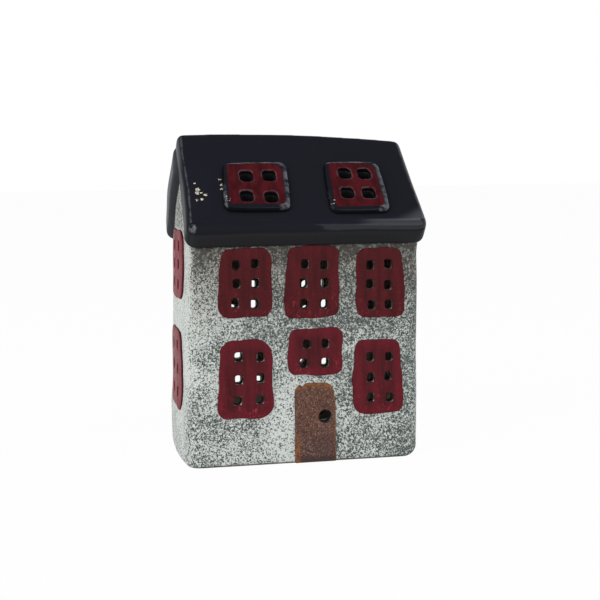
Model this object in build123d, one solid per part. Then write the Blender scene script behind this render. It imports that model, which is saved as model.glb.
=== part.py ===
from build123d import *
import os
from dataclasses import dataclass, field
from math import cos, radians, sin, tan

# A slab-built stoneware house that stands over a tealight.
# Frame: millimetres, origin in the middle of the base, front wall towards -Y,
# +X to the right of someone who faces the front wall, +Z up.

# Front wall across: margins, three columns of windows and the piers between them
left_margin = 12.5
right_margin = 5.5
bay_width = 24.0
pier_width = 5.5

# Front wall up the middle column: door, window over it, upper window, wall head
door_height = 35.2
lintel_height = 3.6
transom_height = 20.1
storey_gap = 5.2
upper_height = 30.6
head_gap = 0.2

# Side columns of the lower storey
lower_height = 32.6
lower_gap = 10.0

# Wall slabs
wall_depth = 65.0
wall_thickness = 6.0
corner_radius = 6.5
inner_corner_radius = 1.5
base_round = 2.4
gable_bow = 1.8

# Roof slabs
roof_pitch = 44.6
roof_thickness = 11.0
roof_overhang = 3.3
ridge_crown = 1.3
eave_crown = 0.6
rake_lean = 2.4
ridge_tilt = 2.9
ridge_round = 3.2
rake_round = 3.2
crease_round = 5.0
seam_lean = 24.0

# Applied panels: windows, skylights and door
panel_proud = 0.8
skylight_proud = 1.9
skylight_round = 0.9
edge_bow = 0.5
rail = 2.1
stile = 2.6
pane_width = 3.4
pane_height = 4.1
pane_corner = 0.7
hand_slip = 0.3
door_width = 18.4
door_shift = 0.6
door_corner = 4.2
door_ground_gap = 0.3
knob_hole_diameter = 5.9
knob_hole_inset = 4.7
knob_hole_height = 20.4

# Gable windows
gable_window_width = 35.0
gable_upper_height = 29.5
gable_lower_height = 34.6
gable_upper_drop = 8.3
gable_lower_centre = 40.6
gable_window_shift = 1.5
gable_stile = 4.0

# Back windows
back_window_width = 24.0
back_window_height = 23.6
back_window_spread = 34.8
back_upper_drop = 26.5
back_lower_centre = 31.5
back_lower_slip = 1.6
back_stile = 2.2

# Skylights in the front roof slab
skylight_width = 28.4
skylight_length = 28.5
skylight_spread = 43.6
skylight_up_slope = 22.6
skylight_pane_width = 5.8
skylight_pane_height = 6.4
skylight_pane_corner = 1.8
skylight_frame = 4.1
skylight_rail = 3.2

# Tealight
cup_diameter = 38.0
cup_height = 15.5
cup_wall = 0.4
cup_lip = 1.0
wax_depth = 12.6
wick_diameter = 1.8
wick_stand = 7.0
sustainer_diameter = 14.0
sustainer_thickness = 0.5
collar_diameter = 3.6
collar_height = 4.0

# Sizes that follow from the ones above
wall_width = left_margin + 3 * bay_width + 2 * pier_width + right_margin
half_width = wall_width / 2
half_depth = wall_depth / 2
transom_sill = door_height + lintel_height
upper_sill = transom_sill + transom_height + storey_gap
eave_height = upper_sill + upper_height + head_gap
pitch = radians(roof_pitch)
apex_height = eave_height + half_depth * tan(pitch)
ridge_height = apex_height + roof_thickness / cos(pitch)
slope_length = half_depth / cos(pitch) + roof_thickness * tan(pitch)
crease_y = -half_depth - roof_thickness * sin(pitch)
crease_z = eave_height + roof_thickness * cos(pitch)
roof_half_width = half_width + roof_overhang
column_pitch = bay_width + pier_width
first_column = -half_width + left_margin + bay_width / 2
upper_centre = upper_sill + upper_height / 2
transom_centre = transom_sill + transom_height / 2
lower_centre = upper_sill - lower_gap - lower_height / 2
reach = 2 * wall_thickness

WALL_PLANES = {
    "front": Plane(origin=(0, -half_depth, 0), x_dir=(1, 0, 0), z_dir=(0, -1, 0)),
    "back": Plane(origin=(0, half_depth, 0), x_dir=(-1, 0, 0), z_dir=(0, 1, 0)),
    "left": Plane(origin=(-half_width, 0, 0), x_dir=(0, -1, 0), z_dir=(-1, 0, 0)),
    "right": Plane(origin=(half_width, 0, 0), x_dir=(0, 1, 0), z_dir=(1, 0, 0)),
}
SLOPE_PLANE = Plane(
    origin=(0, crease_y, crease_z), x_dir=(1, 0, 0), z_dir=(0, -sin(pitch), cos(pitch))
)


@dataclass
class Window:
    """A pierced panel: where its middle is on its wall, its hand-cut outline and how its panes are pierced.

    Nudges are how far single panes sit off the grid, by row and side.
    """

    name: str
    across: float
    up: float
    head_width: float
    sill_width: float
    height: float
    lean: float = 0.0
    corner: float = 3.2
    rows: int = 3
    side_stile: float = stile
    end_rail: float = rail
    pane_shift: float = 0.0
    pane_lift: float = 0.0
    nudges: dict = field(default_factory=dict)


def column(number):
    """Middle of a column of windows, counted from the left."""
    return first_column + number * column_pitch


# Each front window is trimmed a little differently from its bay, as a hand-cut one is.
WINDOWS = {
    "front": [
        Window("upper_left_window", column(0) - 0.4, upper_centre + 0.4, bay_width - 1.2, bay_width - 0.4,
               upper_height - 1.2, lean=0.3, corner=4.0, side_stile=stile + 0.4, pane_shift=0.4,
               pane_lift=-0.5),
        Window("upper_middle_window", column(1) - 0.3, upper_centre, bay_width - 1.7, bay_width - 0.3,
               upper_height, lean=0.9, corner=2.8, pane_shift=1.0, pane_lift=-0.8,
               nudges={(2, 1): (0, -1.2)}),
        Window("upper_right_window", column(2) + 0.3, upper_centre - 1.1, bay_width - 4.0, bay_width - 2.2,
               upper_height - 0.7, lean=-0.6, pane_shift=-0.3, pane_lift=-0.9),
        Window("lower_left_window", column(0) - 0.5, lower_centre + 0.2, bay_width - 2.6, bay_width + 0.8,
               lower_height + 1.2, lean=0.8, corner=5.2, side_stile=stile - 0.4, end_rail=rail + 0.5,
               pane_shift=1.6, pane_lift=0.4),
        Window("door_top_window", column(1) + 0.9, transom_centre, bay_width - 0.6, bay_width + 0.2,
               transom_height, lean=0.6, rows=2, pane_lift=-0.7,
               nudges={(0, -1): (-0.4, -0.4), (1, -1): (0.6, 0.2), (1, 1): (-0.7, -0.2)}),
        Window("lower_right_window", column(2) - 0.9, lower_centre - 0.9, bay_width - 2.9, bay_width - 1.7,
               lower_height, lean=-0.4, end_rail=rail + 0.4, pane_shift=0.9, pane_lift=-0.3),
    ],
    "left": [
        Window("left_gable_upper_window", gable_window_shift, eave_height - gable_upper_drop,
               gable_window_width - 4.0, gable_window_width, gable_upper_height, corner=6.0,
               side_stile=gable_stile),
        Window("left_gable_lower_window", gable_window_shift, gable_lower_centre,
               gable_window_width - 3.0, gable_window_width, gable_lower_height, corner=6.0,
               side_stile=gable_stile),
    ],
    "right": [
        Window("right_gable_upper_window", -gable_window_shift, eave_height - gable_upper_drop,
               gable_window_width - 4.0, gable_window_width, gable_upper_height, corner=6.0,
               side_stile=gable_stile),
        Window("right_gable_lower_window", -gable_window_shift, gable_lower_centre,
               gable_window_width - 3.0, gable_window_width, gable_lower_height, corner=6.0,
               side_stile=gable_stile),
    ],
    "back": [
        Window("back_upper_left_window", -back_window_spread / 2, eave_height - back_upper_drop,
               back_window_width - 1.0, back_window_width, back_window_height, lean=0.5, rows=2,
               side_stile=back_stile,
               nudges={(0, -1): (0.1, -0.7), (0, 1): (-0.4, -2.8), (1, -1): (2.0, 0), (1, 1): (-0.1, -0.8)}),
        Window("back_upper_right_window", back_window_spread / 2, eave_height - back_upper_drop,
               back_window_width, back_window_width - 0.8, back_window_height, lean=-0.4, rows=2,
               side_stile=back_stile, nudges={(0, 1): (0.6, -1.4), (1, 1): (2.2, 0)}),
        Window("back_lower_left_window", -back_window_spread / 2, back_lower_centre - back_lower_slip,
               back_window_width - 0.6, back_window_width, back_window_height, lean=0.3, rows=2,
               side_stile=back_stile, nudges={(1, 1): (2.6, 1.5)}),
        Window("back_lower_right_window", back_window_spread / 2 - back_lower_slip,
               back_lower_centre + back_lower_slip, back_window_width - 1.2, back_window_width,
               back_window_height, lean=-0.5, rows=2, side_stile=back_stile,
               nudges={(0, -1): (-0.6, -0.9), (0, 1): (0, -0.8), (1, -1): (1.8, 0.6), (1, 1): (-0.4, 2.0)}),
    ],
}
SKYLIGHTS = [
    Window("left_skylight", column(1) - skylight_spread / 2 - 1.2, skylight_up_slope + 0.9, skylight_width,
           skylight_width + 0.8, skylight_length, lean=2.2, corner=3.6, rows=2, side_stile=skylight_frame,
           end_rail=skylight_rail - 1.0, pane_shift=1.0, pane_lift=-0.7),
    Window("right_skylight", column(1) + skylight_spread / 2 - 0.8, skylight_up_slope, skylight_width - 2.4,
           skylight_width - 1.4, skylight_length + 2.0, lean=0.8, corner=3.6, rows=2,
           side_stile=skylight_frame, end_rail=skylight_rail + 0.6, pane_shift=0.5, pane_lift=1.7),
]


def wall_plan(grow):
    """Outline of the walls seen from above, moved out by grow: straight front and back, bowed gables."""
    x = half_width + grow
    y = half_depth + grow
    with BuildSketch() as plan:
        with BuildLine():
            Line((-x, -y), (x, -y))
            ThreePointArc((x, -y), (x + gable_bow, 0), (x, y))
            Line((x, y), (-x, y))
            ThreePointArc((-x, y), (-x - gable_bow, 0), (-x, -y))
        make_face()
        fillet(plan.vertices(), max(corner_radius + grow, inner_corner_radius))
    return plan.sketch


def wall_block(grow):
    """Full block inside the wall outline, its base edge rounded, all moved out by grow."""
    block = extrude(Pos(0, 0, -grow) * wall_plan(grow), ridge_height + grow)
    base = block.faces().sort_by(Axis.Z)[0]
    return fillet(base.edges(), base_round + grow)


def space_under_roof():
    """Everything below the undersides of the two roof slabs, past the walls on all sides."""
    y = half_depth + reach
    gable = Polyline(
        (-y, -reach), (y, -reach), (y, apex_height - y * tan(pitch)), (0, apex_height),
        (-y, apex_height - y * tan(pitch)), close=True,
    )
    section = Plane.YZ * make_face(gable)
    return extrude(section, roof_half_width + reach, both=True)


def mitred_sector(side):
    """Plan of one wall between its two mitred corners, as a tall prism."""
    x, y = half_width, half_depth
    outer_x, outer_y = x + reach, y + reach
    inner_x, inner_y = x - reach, y - reach
    front = [(-outer_x, -outer_y), (outer_x, -outer_y), (inner_x, -inner_y), (-inner_x, -inner_y)]
    right = [(outer_x, -outer_y), (outer_x, outer_y), (inner_x, inner_y), (inner_x, -inner_y)]
    corners = {
        "front": front,
        "right": right,
        "back": [(-px, -py) for px, py in front],
        "left": [(-px, -py) for px, py in right],
    }[side]
    return extrude(make_face(Polyline(*corners, close=True)), ridge_height)


def panel_outline(window):
    """Hand-cut outline of a panel: four slightly bowed sides and rounded corners."""
    head = window.height / 2 - edge_bow
    head_half = window.head_width / 2 - edge_bow
    sill_half = window.sill_width / 2 - edge_bow
    shift = window.lean / 2
    corners = [(-sill_half - shift, -head), (sill_half - shift, -head),
               (head_half + shift, head), (-head_half + shift, head)]
    with BuildSketch() as outline:
        with BuildLine():
            for start, end in zip(corners, corners[1:] + corners[:1]):
                SagittaArc(start, end, -edge_bow)
        make_face()
        fillet(outline.vertices(), window.corner)
    return Pos(window.across, window.up) * outline.sketch


def pane_places(window):
    """Middles of a window's panes: two columns, each pierced by eye and so a little off the grid."""
    mean_width = (window.head_width + window.sill_width) / 2
    across_pitch = mean_width / 2 - window.side_stile
    up_pitch = (window.height - 2 * window.end_rail) / window.rows
    places = []
    for row in range(window.rows):
        for side in (-1, 1):
            up = window.pane_lift + (row - (window.rows - 1) / 2) * up_pitch
            across = window.pane_shift + side * across_pitch / 2 + window.lean * up / window.height
            nudge_across, nudge_up = window.nudges.get((row, side), (0, 0))
            slip = nudge_across + hand_slip * sin(window.across + 3 * row + side)
            drop = nudge_up + hand_slip * cos(window.up + 2 * row - side)
            places.append((window.across + across + slip, window.up + up + drop))
    return places


def pane_faces(window, width, height, corner):
    """All panes of a window as rounded rectangles."""
    pane = RectangleRounded(width, height, corner)
    return [Pos(*place) * pane for place in pane_places(window)]


def pierce(solid, plane, faces, depth):
    """Cut a prism of each face through a solid, both ways from the plane."""
    return solid - [extrude(plane * face, depth, both=True) for face in faces]


def door_outline():
    """Door with rounded shoulders, drawn down past the base."""
    left = column(1) + door_shift - door_width / 2
    right = left + door_width
    with BuildSketch() as outline:
        with BuildLine():
            Polyline((left, -reach), (right, -reach), (right, door_height - edge_bow))
            SagittaArc((right, door_height - edge_bow), (left, door_height - edge_bow), -edge_bow)
            Line((left, door_height - edge_bow), (left, -reach))
        make_face()
        shoulders = outline.vertices().sort_by(Axis.Y)[-2:]
        fillet(shoulders, door_corner)
    return outline.sketch


def knob_hole():
    """Round hole in the door, where the knob would be."""
    right = column(1) + door_shift + door_width / 2
    return Pos(right - knob_hole_inset, knob_hole_height) * Circle(knob_hole_diameter / 2)


def make_walls():
    """Four wall slabs, mitred at the corners and pierced behind every pane."""
    cavity = extrude(Pos(0, 0, -reach) * wall_plan(-wall_thickness), ridge_height + reach)
    shell = (wall_block(0) - cavity) & space_under_roof()
    names = {
        "front": "front_wall", "back": "back_wall", "left": "left_gable_wall", "right": "right_gable_wall",
    }
    walls = {}
    for side, name in names.items():
        holes = [knob_hole()] if side == "front" else []
        for window in WINDOWS[side]:
            holes += pane_faces(window, pane_width, pane_height, pane_corner)
        walls[name] = pierce(shell & mitred_sector(side), WALL_PLANES[side], holes, reach)
    return walls


def make_wall_panels():
    """Windows and door: the skin just outside the walls, within each outline."""
    skin = wall_block(panel_proud) - wall_block(0)
    panels = {}
    for side, windows in WINDOWS.items():
        plane = WALL_PLANES[side]
        side_skin = skin & mitred_sector(side)
        for window in windows:
            panel = side_skin & extrude(plane * panel_outline(window), reach, both=True)
            panes = pane_faces(window, pane_width, pane_height, pane_corner)
            panels[window.name] = pierce(panel, plane, panes, reach)
    above_ground = Pos(0, 0, door_ground_gap) * Box(
        2 * wall_width, 2 * wall_depth, ridge_height, align=(Align.CENTER, Align.CENTER, Align.MIN)
    )
    door = skin & extrude(WALL_PLANES["front"] * door_outline(), reach, both=True) & above_ground
    panels["door_panel"] = pierce(door, WALL_PLANES["front"], [knob_hole()], reach)
    return panels


def slope_rise(across, up):
    """How far the roof stands above a flat slope: crowned, level at the eave, tilted at the ridge."""
    climb = up / slope_length
    share = across / roof_half_width
    crown = eave_crown + (ridge_crown - eave_crown) * climb
    return crown * (1 - share**2) - ridge_tilt * climb * share / 2


def roof_section(up):
    """Section across the front slope: crowned and tilted top, flat a long way below, ends not yet trimmed."""
    x = roof_half_width + reach
    depth = 2 * slope_length
    left, middle, right = [(place, slope_rise(place, up)) for place in (-x, 0, x)]
    with BuildSketch() as section:
        with BuildLine():
            Polyline(left, (-x, -depth), (x, -depth), right)
            ThreePointArc(right, middle, left)
        make_face()
    up_slope = Vector(0, cos(pitch), sin(pitch))
    plane = Plane(origin=SLOPE_PLANE.origin + up_slope * up, x_dir=(1, 0, 0), z_dir=-up_slope)
    return plane * section.sketch


def front_slope():
    """Everything under the front slope, from the eave up past the ridge."""
    return loft([roof_section(0), roof_section(2 * slope_length)], ruled=True)


def between_rakes():
    """Everything between the two roof ends, which lean in from the eave to the ridge."""
    lean = rake_lean / (ridge_height - crease_z)
    top = ridge_height + reach
    low = roof_half_width + lean * crease_z
    high = low - lean * top
    outline = Polyline((-low, 0), (low, 0), (high, top), (-high, top), close=True)
    return extrude(Plane.XZ * make_face(outline), wall_depth, both=True)


def make_roof():
    """Front and back roof slabs. The front one laps over the ridge, down to a seam in the back slope."""
    front = front_slope()
    roof = front & mirror(front, about=Plane.XZ) & between_rakes()
    ridge = roof.edges().sort_by(Axis.Z)[-1]
    roof = fillet(ridge, ridge_round)
    at_end = roof.edges().filter_by(lambda edge: abs(edge.center().X) > half_width)
    roof = fillet(at_end.filter_by(lambda edge: edge.center().Z > eave_height + roof_thickness), rake_round)
    creases = roof.edges().filter_by(lambda edge: abs(edge.center().Y) > half_depth)
    roof = fillet(creases.filter_by(lambda edge: edge.length > half_width), crease_round)
    roof -= space_under_roof()
    seam = Plane(
        origin=(0, 0, apex_height), x_dir=(1, 0, 0),
        z_dir=(0, cos(radians(seam_lean)), -sin(radians(seam_lean))),
    )
    return {
        "front_roof_slab": split(roof, bisect_by=seam, keep=Keep.BOTTOM),
        "back_roof_slab": split(roof, bisect_by=seam, keep=Keep.TOP),
    }


def make_skylights(roof):
    """Raised skylights, seated on the front slab, with their panes cut through it."""
    through = 2 * roof_thickness
    slab = roof["front_roof_slab"]
    skylights = {}
    all_panes = []
    for window in SKYLIGHTS:
        panes = pane_faces(window, skylight_pane_width, skylight_pane_height, skylight_pane_corner)
        top = slope_rise(window.across, window.up) + skylight_proud
        block = extrude(SLOPE_PLANE * panel_outline(window), top)
        upper_face = block.faces().sort_by(Axis(SLOPE_PLANE.origin, SLOPE_PLANE.z_dir))[-1]
        block = fillet(upper_face.edges(), skylight_round)
        skylights[window.name] = pierce(block - slab, SLOPE_PLANE, panes, through)
        all_panes += panes
    roof["front_roof_slab"] = pierce(slab, SLOPE_PLANE, all_panes, through)
    return skylights


def make_tealight():
    """Aluminium cup, wax, wick and the tin sustainer that holds the wick upright."""
    base = (Align.CENTER, Align.CENTER, Align.MIN)
    outer = cup_diameter / 2
    inner = outer - cup_wall
    cup = Cylinder(outer, cup_height, align=base)
    cup += Pos(0, 0, cup_height - cup_wall) * Cylinder(outer + cup_lip, cup_wall, align=base)
    cup -= Pos(0, 0, cup_wall) * Cylinder(inner, cup_height, align=base)
    wick_foot = cup_wall + sustainer_thickness
    wick_top = cup_wall + wax_depth + wick_stand
    wick = Pos(0, 0, wick_foot) * Cylinder(wick_diameter / 2, wick_top - wick_foot, align=base)
    sustainer = Pos(0, 0, cup_wall) * Cylinder(sustainer_diameter / 2, sustainer_thickness, align=base)
    sustainer += Pos(0, 0, wick_foot) * Cylinder(collar_diameter / 2, collar_height, align=base)
    sustainer -= wick
    wax = Pos(0, 0, cup_wall) * Cylinder(inner, wax_depth, align=base)
    wax -= wick
    wax -= sustainer
    return {"tealight_cup": cup, "tealight_wax": wax, "tealight_wick": wick, "wick_sustainer": sustainer}


def main():
    os.makedirs("parts", exist_ok=True)
    nodes = make_walls()
    nodes.update(make_wall_panels())
    roof = make_roof()
    nodes.update(make_skylights(roof))
    nodes.update(roof)
    nodes.update(make_tealight())
    for name, solid in nodes.items():
        export_step(solid, os.path.join("parts", name + ".step"))


main()
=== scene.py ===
from math import cos, radians, sin

import bmesh
import bpy
import numpy as np
from mathutils import Matrix, Vector, noise
from mathutils.kdtree import KDTree


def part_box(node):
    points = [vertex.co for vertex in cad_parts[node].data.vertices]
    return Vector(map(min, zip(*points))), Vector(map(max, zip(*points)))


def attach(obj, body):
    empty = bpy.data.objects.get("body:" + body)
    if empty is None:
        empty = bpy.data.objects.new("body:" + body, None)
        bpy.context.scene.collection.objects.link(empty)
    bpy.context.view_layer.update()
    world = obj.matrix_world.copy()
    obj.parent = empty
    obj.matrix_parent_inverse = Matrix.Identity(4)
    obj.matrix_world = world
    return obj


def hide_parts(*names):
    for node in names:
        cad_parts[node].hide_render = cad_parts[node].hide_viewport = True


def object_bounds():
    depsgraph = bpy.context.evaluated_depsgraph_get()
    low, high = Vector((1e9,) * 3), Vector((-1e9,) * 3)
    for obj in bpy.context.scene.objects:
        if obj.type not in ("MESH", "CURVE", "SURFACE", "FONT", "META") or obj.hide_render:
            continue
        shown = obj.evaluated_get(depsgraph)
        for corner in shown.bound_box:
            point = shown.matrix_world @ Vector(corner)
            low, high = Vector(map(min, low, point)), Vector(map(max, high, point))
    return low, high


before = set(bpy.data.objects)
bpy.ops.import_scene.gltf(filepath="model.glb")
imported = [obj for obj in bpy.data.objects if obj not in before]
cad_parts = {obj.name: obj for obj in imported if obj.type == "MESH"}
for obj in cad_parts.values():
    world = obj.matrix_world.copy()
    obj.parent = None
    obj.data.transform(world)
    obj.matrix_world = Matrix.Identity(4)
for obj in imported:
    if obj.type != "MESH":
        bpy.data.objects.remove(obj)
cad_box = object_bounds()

# The same unevenness on every run.
noise.seed_set(3)

# A slab-built stoneware house over a tealight. Lengths are in metres; MM turns millimetres into them.
MM = 0.001

# Mesh fineness: the walls and roof are coarser than the small applied panels.
WALL_VOXEL = 0.7 * MM
ROOF_VOXEL = 0.6 * MM
PANEL_VOXEL = 0.32 * MM
MERGE_DISTANCE = 0.002 * MM

# Rounds of relaxing, which rounds the edges off, and how far one round draws a point to its neighbours.
WALL_ROUNDS = 3
PANEL_ROUNDS = 3
SKYLIGHT_ROUNDS = 4
ROOF_ROUNDS = 8
RELAX_PULL = 0.5

# How far the back of a panel is pressed into the clay that carries it, and which faces count as its back.
PANEL_SINK = 0.5 * MM
BACK_FACING = -0.7

# Hand-built unevenness: slow bends of whole slabs and smaller dents.
BEND_LENGTH = 34 * MM
BEND_SIZE = 0.45 * MM
DENT_LENGTH = 11 * MM
DENT_SIZE = 0.16 * MM
FLAT_BASE = 8 * MM
SKYLIGHT_DENTS = 0.5
ROOF_DENTS = 0.35

# The left gable leans in towards the top. The right one flares out under the eave, at its front corner.
LEAN_START = 30 * MM
LEAN_SPAN = 80 * MM
LEAN_SIZE = 2.4 * MM
FLARE_SPAN = 11 * MM
FLARE_SIZE = 1.4 * MM

# The foot of the left gable bulges, and the base is worn round at the right one.
BULGE_TOP = 36 * MM
BULGE_SIZE = 1.3 * MM
BASE_WEAR = 9.5 * MM

# The right gable's front corner bellies out a little above its base.
BELLY_START = 8 * MM
BELLY_END = 30 * MM
BELLY_SIZE = 0.5 * MM

# Shares of the house's half width and half depth from which these shifts set in.
LEFT_FADE = 0.4
RIGHT_FADE = 0.8
CORNER_START = 0.35
CORNER_END = 0.8

# Past this distance from the middle, walls and panels are eased into the solid's box.
EASE_START = 52 * MM

# Stands in for zero where something is divided by a distance.
TINY = 1e-9

# Panels are cut by hand: their outlines wander by this much, over lengths like this.
CUT_LENGTH = 8 * MM
CUT_SIZE = 0.75 * MM
CUT_REACH = 3.2 * MM
CUT_SPREAD = 0.35
CUT_OFFSET = Vector((7, 3, 5))

# How far an edge or the side of a hole turns away from the direction that its panel faces.
EDGE_FACING = (0.97, 0.55)
HOLE_FACING = (0.45, 0.1)

# The red of a window changes towards its outline, more so where the brush marks are strong.
BORDER_FADE = (1.5 * MM, 5 * MM)
BORDER_GAIN = 0.9
BORDER_LOSS = 0.45

# The front roof slab was cut a little shorter at its left end than the back one.
LAP_STEP = 0.9 * MM
LAP_SPAN = 14 * MM
LAP_SLANT = 1.75 * MM
LAP_TOP = 2 * MM
LAP_FOOT = 26 * MM

# The back slab's low corner is cut round at its left end.
TUCK_SIZE = 1.2 * MM
TUCK_TOP = 22 * MM
TUCK_FOOT = 2 * MM

# The slope of both roof slabs, and how far sideways an end and how far down an underside has to face.
ROOF_PITCH = radians(44.6)
END_FACING = (0.55, 0.85)
UNDER_FACING = (-0.33, -0.47)

# Thin glaze on the upper edges of a slab's ends, and on the lower edge of the left end near the ridge.
EDGE_LEAN = 0.45
EDGE_CONE = (0.988, 0.998)
LEFT_EDGE_WEAR = 0.65
RIGHT_EDGE_WEAR = 0.4
LOW_EDGE_CONE = (0.90, 0.98)
LOW_EDGE_START = 22 * MM
LOW_EDGE_END = 28 * MM

# The glaze is dull where a slab tilts past a limit, which falls towards the right in front, and along a roll.
GLOSS_TILT = 0.6
GLOSS_DROP = 0.85
GLOSS_ACROSS = (-5 * MM, 14 * MM)
GLOSS_FADE = (0.08, -0.08)
ROLL_IN = (0.2, 0.3)
ROLL_OUT = (0.69, 0.62)
ROLL_ACROSS = (34 * MM, 18 * MM)

# Painted grey light: its share, how near the ridge it lies on the front slab's ends, and the back slab's lip.
PAINTED_LIGHT_SHARE = 0.85
LIT_END_START = 24 * MM
LIT_END_END = 36 * MM
LIP_START = 4 * MM
LIP_END = 2 * MM
LIP_FACING = (-0.3, -0.6)

# The door's head is cut narrower at the right and has a notch in its left shoulder.
NOTCH_PLACE = 3.6 * MM
NOTCH_WIDTH = 0.8 * MM
NOTCH_DEPTH = 1.3 * MM
NOTCH_REACH = 4 * MM
HEAD_TAPER = 1.2 * MM
TAPER_REACH = 12 * MM

# Rust on the door: along its arched head, down its right side and in a streak at the lower left.
RUST_ARCH = 2.5 * MM
RUST_HEAD = (0.6 * MM, 2.8 * MM)
RUST_RIGHT = (0.1 * MM, 1.0 * MM)
RUST_RIGHT_SHARE = 0.8
STREAK_WIDTH = (1.2 * MM, 3.6 * MM)
STREAK_SLANT = 0.05
STREAK_TOP = (9 * MM, 15 * MM)

# Skylights: how far the red stays off three sides and runs over the top, its corners and its soft outline.
RED_LEFT = 1.0 * MM
RED_RIGHT = 0.9 * MM
RED_BOTTOM = 1.6 * MM
RED_OVER_TOP = 0.2 * MM
RED_CORNER = 3.4 * MM
TOP_RIGHT_CORNER = 7 * MM
RIM_FADE = (0.9 * MM, 2.1 * MM)

# Rings round the skylights' panes, and which points belong to the sides of the panes.
RING_PLACE = 0.55 * MM
RING_WIDTH = 0.22 * MM
PANE_FACING = 0.3
PANE_INSET = 2.5 * MM

# Skylight rims: grey wear and painted highlights by distance from their sides, and each left rim's share.
WEAR_RIGHT = (0.9 * MM, 2.6 * MM)
WEAR_RED = 1.5 * MM
WEAR_RIGHT_HALF = (-2 * MM, 4 * MM)
WEAR_RIGHT_FOOT = (2.5 * MM, 6 * MM)
WEAR_LEFT = (0.9 * MM, 2.0 * MM)
WEAR_LEFT_TOP = (9 * MM, 16 * MM)
WEAR_TOP = (1.2 * MM, 2.0 * MM)
WEAR_CORNER = (2.6 * MM, 4.6 * MM)
WEAR_CORNER_PLACE = 1.5 * MM
LEFT_WEAR = {"left_skylight": 0.9, "right_skylight": 0.15}

# A painted glint at each skylight's lower left; sides turned from the light go dull and get painted shade.
GLINT_LEFT = 1.6 * MM
GLINT_UP = 6 * MM
GLINT_STRETCH = 1.6
GLINT_FADE = (0.8 * MM, 1.8 * MM)
DULL_SHIFT = 0.15
DULL_FADE = (-0.05, -0.45)

# Glaze: how deep it reaches into a hole, and the margin round a panel where the flecks are fewer.
GLAZE_DEPTH = 0.35 * MM
MARGIN_WIDTH = 1.3 * MM
MARGIN_FADE = 0.1

# Walls: how one turns into the next at a corner, and which faces look into the house.
GABLE_FADE = (-2 * MM, 6 * MM)
INNER_FACING = (-0.5, -0.8)

# Painted shade browns the glaze from this far below the eave to this far above it, hardly so on the gables.
SHADE_START = 56 * MM
SHADE_END = 2 * MM
GABLE_PALE = 0.8

# Camera of the photograph.
IMAGE_SIDE = 600
FOCAL_PIXELS = 1261.0
SENSOR = 36.0
CAMERA_PLACE = Vector((-111.6, -560.1, 130.5)) * MM
CAMERA_YAW = radians(11.71)
CAMERA_PITCH = radians(-6.22)
CAMERA_ROLL = radians(0.63)

WALLS = ("front_wall", "back_wall", "left_gable_wall", "right_gable_wall")
ROOF_SLABS = ("front_roof_slab", "back_roof_slab")
SKYLIGHTS = ("left_skylight", "right_skylight")
FRONT_UPPER = ("upper_left_window", "upper_middle_window", "upper_right_window")
FRONT_LOWER = ("lower_left_window", "door_top_window", "lower_right_window")
LEFT_WINDOWS = ("left_gable_upper_window", "left_gable_lower_window")
RIGHT_WINDOWS = ("right_gable_upper_window", "right_gable_lower_window")
BACK_UPPER = ("back_upper_left_window", "back_upper_right_window")
BACK_LOWER = ("back_lower_left_window", "back_lower_right_window")
DOOR = "door_panel"

SLOPE_OUT = Vector((0, -sin(ROOF_PITCH), cos(ROOF_PITCH)))
SLOPE_OUT_BACK = Vector((0, sin(ROOF_PITCH), cos(ROOF_PITCH)))
SLOPE_UP = Vector((0, cos(ROOF_PITCH), sin(ROOF_PITCH)))
FRONT = Vector((0, -1, 0))
BACK = Vector((0, 1, 0))
LEFT = Vector((-1, 0, 0))
RIGHT = Vector((1, 0, 0))
UP = Vector((0, 0, 1))


def limits(nodes):
    """Lowest and highest corner of several nodes together."""
    boxes = [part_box(node) for node in nodes]
    low = Vector(map(min, *[box[0] for box in boxes]))
    high = Vector(map(max, *[box[1] for box in boxes]))
    return low, high


# The walls meet in 45 degree mitres, so their boxes give the place where the outer faces would cross.
# The gables bow out past it. The glaze's plan has rounded corners and lies a margin inside it at the gables.
GABLE_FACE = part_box("right_gable_wall")[1].x
HALF_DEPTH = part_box("back_wall")[1].y
HALF_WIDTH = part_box("front_wall")[1].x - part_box("right_gable_wall")[1].y + HALF_DEPTH
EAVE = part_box("front_wall")[1].z
CORNER = 6.5 * MM
PLAN_MARGIN = 1 * MM
ROOF_LOW, ROOF_HIGH = limits(ROOF_SLABS)
RIDGE = ROOF_HIGH.z


def on_slope(x, down):
    """A place on the front slope, a distance down from the ridge."""
    return Vector((x, 0, RIDGE)) - SLOPE_UP * down


# Marks on the front slope: a bare spot at the lower left corner, and painted glints, with their radii.
BARE_SPOT = on_slope(-49.3 * MM, 56 * MM)
BARE_RADIUS = 4.0 * MM
GLINT_SPOTS = (
    (on_slope(-44.4 * MM, 34.2 * MM), 1.3 * MM),
    (on_slope(-44.9 * MM, 36.2 * MM), 1.4 * MM),
    (on_slope(-43.0 * MM, 36.2 * MM), 1.0 * MM),
    (on_slope(-41.4 * MM, 37.2 * MM), 1.0 * MM),
    (on_slope(-45.5 * MM, 40.0 * MM), 0.9 * MM),
    (on_slope(-43.3 * MM, 39.8 * MM), 0.9 * MM),
    (on_slope(-45.5 * MM, 30.6 * MM), 0.8 * MM),
    (on_slope(-34.5 * MM, 28.4 * MM), 1.1 * MM),
    (on_slope(-34.1 * MM, 32.0 * MM), 1.1 * MM),
    (on_slope(-33.9 * MM, 34.2 * MM), 1.0 * MM),
)

# A painted reflection: a grey wedge at the lower right corner of the front slope.
WEDGE_START = 30 * MM
WEDGE_SPAN = 24 * MM
WEDGE_FOOT = 54 * MM
WEDGE_RISE = 11 * MM
WEDGE_SOFT = (-2.0 * MM, 5.0 * MM)
WEDGE_TIP = 0.5
WEDGE_TILT = (0.5, 0.62)

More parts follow.
